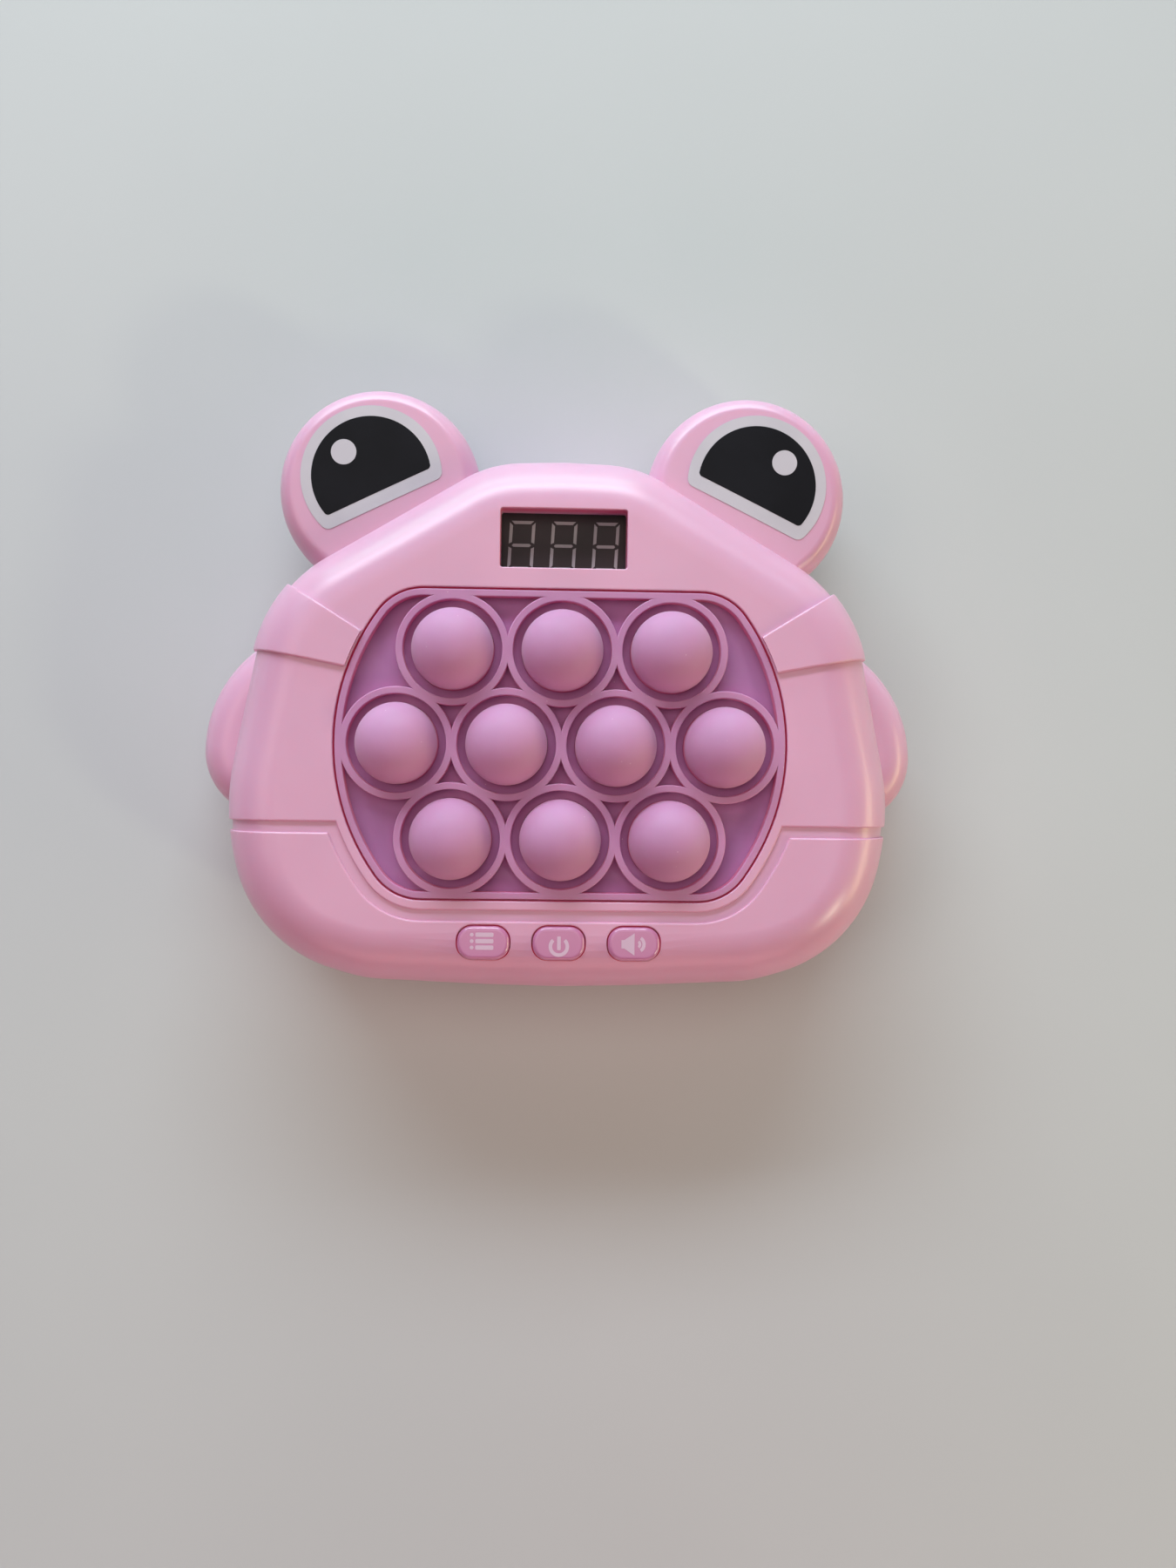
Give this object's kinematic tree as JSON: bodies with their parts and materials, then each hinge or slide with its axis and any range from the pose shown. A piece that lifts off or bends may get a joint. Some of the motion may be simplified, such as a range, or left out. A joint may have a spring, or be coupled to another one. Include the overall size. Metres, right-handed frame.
{
  "type": "electronic bubble pop game",
  "caption": "Frog-faced handheld pop game: rounded housing, barrel window of push-in silicone bubbles, small digit display and glossy function buttons.",
  "frame": {"origin": "middle of the outline, on the surface that the back rests on", "axes": "+X towards the right side arm as the face is seen, +Y towards the eyes, +Z out of the face"},
  "size_m": [0.1672, 0.1354, 0.0468],
  "materials": {
    "pink_shell": "satin moulded",
    "gloss_pink": "gloss",
    "mauve_silicone": "matte silicone",
    "milky_plastic": "milky translucent",
    "label_film": "printed film",
    "display_resin": "dark cast resin",
    "board_laminate": "solder mask",
    "white_plastic": "satin moulded",
    "plated_steel": "zinc plated",
    "cell_can": "printed sleeve"
  },
  "bodies": {
    "housing": {"front_shell": "pink_shell", "rear_shell": "pink_shell", "battery_door": "pink_shell", "battery_door_screw": "plated_steel", "eye_label_left": "label_film", "eye_label_right": "label_film", "pop_pad": "mauve_silicone", "pad_tray": "white_plastic", "main_board": "board_laminate", "display_module": "display_resin", "battery_1": "cell_can", "battery_2": "cell_can", "battery_3": "cell_can", "contact_strip_left": "plated_steel", "contact_strip_right": "plated_steel", "speaker": "plated_steel", "housing_screw_1": "plated_steel", "housing_screw_2": "plated_steel", "housing_screw_3": "plated_steel", "housing_screw_4": "plated_steel", "housing_screw_5": "plated_steel", "housing_screw_6": "plated_steel", "board_screw_1": "plated_steel", "board_screw_2": "plated_steel", "board_screw_3": "plated_steel", "board_screw_4": "plated_steel"},
    "pop_01": {"bubble_01": "mauve_silicone", "light_cap_01": "milky_plastic"},
    "pop_02": {"bubble_02": "mauve_silicone", "light_cap_02": "milky_plastic"},
    "pop_03": {"bubble_03": "mauve_silicone", "light_cap_03": "milky_plastic"},
    "pop_04": {"bubble_04": "mauve_silicone", "light_cap_04": "milky_plastic"},
    "pop_05": {"bubble_05": "mauve_silicone", "light_cap_05": "milky_plastic"},
    "pop_06": {"bubble_06": "mauve_silicone", "light_cap_06": "milky_plastic"},
    "pop_07": {"bubble_07": "mauve_silicone", "light_cap_07": "milky_plastic"},
    "pop_08": {"bubble_08": "mauve_silicone", "light_cap_08": "milky_plastic"},
    "pop_09": {"bubble_09": "mauve_silicone", "light_cap_09": "milky_plastic"},
    "pop_10": {"bubble_10": "mauve_silicone", "light_cap_10": "milky_plastic"},
    "menu_key": {"menu_button": "gloss_pink"},
    "power_key": {"power_button": "gloss_pink"},
    "sound_key": {"sound_button": "gloss_pink"}
  },
  "joints": [
    {"name": "pop_01_press", "type": "slide", "parent": "housing", "child": "pop_01", "axis": [0, 0, -1], "range_m": [0, 0.0035], "stiffness_N_per_m": 600, "springref_m": -0.001},
    {"name": "pop_02_press", "type": "slide", "parent": "housing", "child": "pop_02", "axis": [0, 0, -1], "range_m": [0, 0.0035], "stiffness_N_per_m": 600, "springref_m": -0.001},
    {"name": "pop_03_press", "type": "slide", "parent": "housing", "child": "pop_03", "axis": [0, 0, -1], "range_m": [0, 0.0035], "stiffness_N_per_m": 600, "springref_m": -0.001},
    {"name": "pop_04_press", "type": "slide", "parent": "housing", "child": "pop_04", "axis": [0, 0, -1], "range_m": [0, 0.0035], "stiffness_N_per_m": 600, "springref_m": -0.001},
    {"name": "pop_05_press", "type": "slide", "parent": "housing", "child": "pop_05", "axis": [0, 0, -1], "range_m": [0, 0.0035], "stiffness_N_per_m": 600, "springref_m": -0.001},
    {"name": "pop_06_press", "type": "slide", "parent": "housing", "child": "pop_06", "axis": [0, 0, -1], "range_m": [0, 0.0035], "stiffness_N_per_m": 600, "springref_m": -0.001},
    {"name": "pop_07_press", "type": "slide", "parent": "housing", "child": "pop_07", "axis": [0, 0, -1], "range_m": [0, 0.0035], "stiffness_N_per_m": 600, "springref_m": -0.001},
    {"name": "pop_08_press", "type": "slide", "parent": "housing", "child": "pop_08", "axis": [0, 0, -1], "range_m": [0, 0.0035], "stiffness_N_per_m": 600, "springref_m": -0.001},
    {"name": "pop_09_press", "type": "slide", "parent": "housing", "child": "pop_09", "axis": [0, 0, -1], "range_m": [0, 0.0035], "stiffness_N_per_m": 600, "springref_m": -0.001},
    {"name": "pop_10_press", "type": "slide", "parent": "housing", "child": "pop_10", "axis": [0, 0, -1], "range_m": [0, 0.0035], "stiffness_N_per_m": 600, "springref_m": -0.001},
    {"name": "menu_key_press", "type": "slide", "parent": "housing", "child": "menu_key", "axis": [0, 0, -1], "range_m": [0, 0.0006], "stiffness_N_per_m": 2000, "springref_m": -0.0004},
    {"name": "power_key_press", "type": "slide", "parent": "housing", "child": "power_key", "axis": [0, 0, -1], "range_m": [0, 0.0006], "stiffness_N_per_m": 2000, "springref_m": -0.0004},
    {"name": "sound_key_press", "type": "slide", "parent": "housing", "child": "sound_key", "axis": [0, 0, -1], "range_m": [0, 0.0006], "stiffness_N_per_m": 2000, "springref_m": -0.0004}
  ]
}
